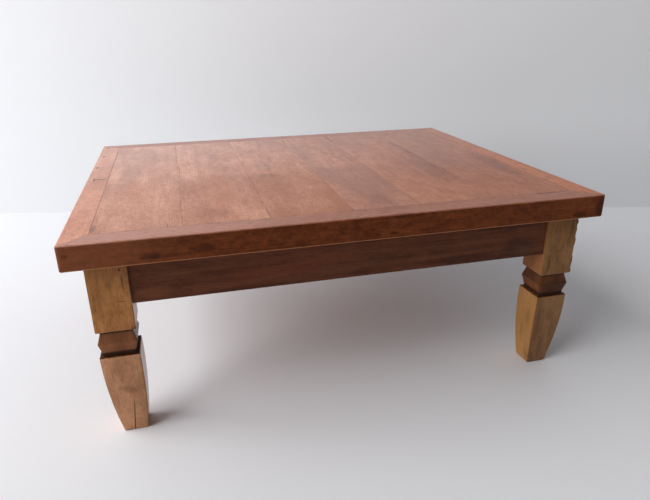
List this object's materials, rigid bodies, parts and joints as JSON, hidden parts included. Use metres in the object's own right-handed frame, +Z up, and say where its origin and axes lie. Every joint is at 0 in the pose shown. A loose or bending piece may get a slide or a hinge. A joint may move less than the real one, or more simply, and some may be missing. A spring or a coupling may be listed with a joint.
{
  "type": "coffee table",
  "caption": "Low rectangular coffee table in reclaimed hardwood: mitred border round a planked top, plain aprons and carved square legs with a bead above a tapering foot.",
  "frame": {"origin": "on the floor, under the centre of the top", "axes": "+X along the table's length to the right as seen from the front, +Y to the back, +Z up"},
  "size_m": [1, 0.8, 0.395],
  "materials": {
    "plank_wood": "oiled satin, pinkish brown",
    "border_wood": "oiled satin, reddish brown",
    "apron_wood": "oiled satin, dark chocolate brown",
    "leg_wood": "oiled satin, yellowish brown",
    "inner_wood": "bare sawn wood",
    "screw_steel": "zinc plated steel"
  },
  "bodies": {
    "root": {"apron_back": "apron_wood", "apron_front": "apron_wood", "apron_left": "apron_wood", "apron_right": "apron_wood", "border_back": "border_wood", "border_front": "border_wood", "border_left": "border_wood", "border_right": "border_wood", "brace_screw_back_left_back": "screw_steel", "brace_screw_back_left_left": "screw_steel", "brace_screw_back_left_top": "screw_steel", "brace_screw_back_right_back": "screw_steel", "brace_screw_back_right_right": "screw_steel", "brace_screw_back_right_top": "screw_steel", "brace_screw_front_left_front": "screw_steel", "brace_screw_front_left_left": "screw_steel", "brace_screw_front_left_top": "screw_steel", "brace_screw_front_right_front": "screw_steel", "brace_screw_front_right_right": "screw_steel", "brace_screw_front_right_top": "screw_steel", "centre_rail": "inner_wood", "corner_brace_back_left": "inner_wood", "corner_brace_back_right": "inner_wood", "corner_brace_front_left": "inner_wood", "corner_brace_front_right": "inner_wood", "leg_back_left": "leg_wood", "leg_back_right": "leg_wood", "leg_front_left": "leg_wood", "leg_front_right": "leg_wood", "mitre_spline_back_left": "inner_wood", "mitre_spline_back_right": "inner_wood", "mitre_spline_front_left": "inner_wood", "mitre_spline_front_right": "inner_wood", "rail_screw_1": "screw_steel", "rail_screw_2": "screw_steel", "rail_screw_3": "screw_steel", "rail_screw_4": "screw_steel", "rail_screw_5": "screw_steel", "rail_screw_6": "screw_steel", "top_plank_1": "plank_wood", "top_plank_2": "plank_wood", "top_plank_3": "plank_wood", "top_plank_4": "plank_wood", "top_plank_5": "plank_wood", "top_plank_6": "plank_wood"}
  },
  "joints": []
}
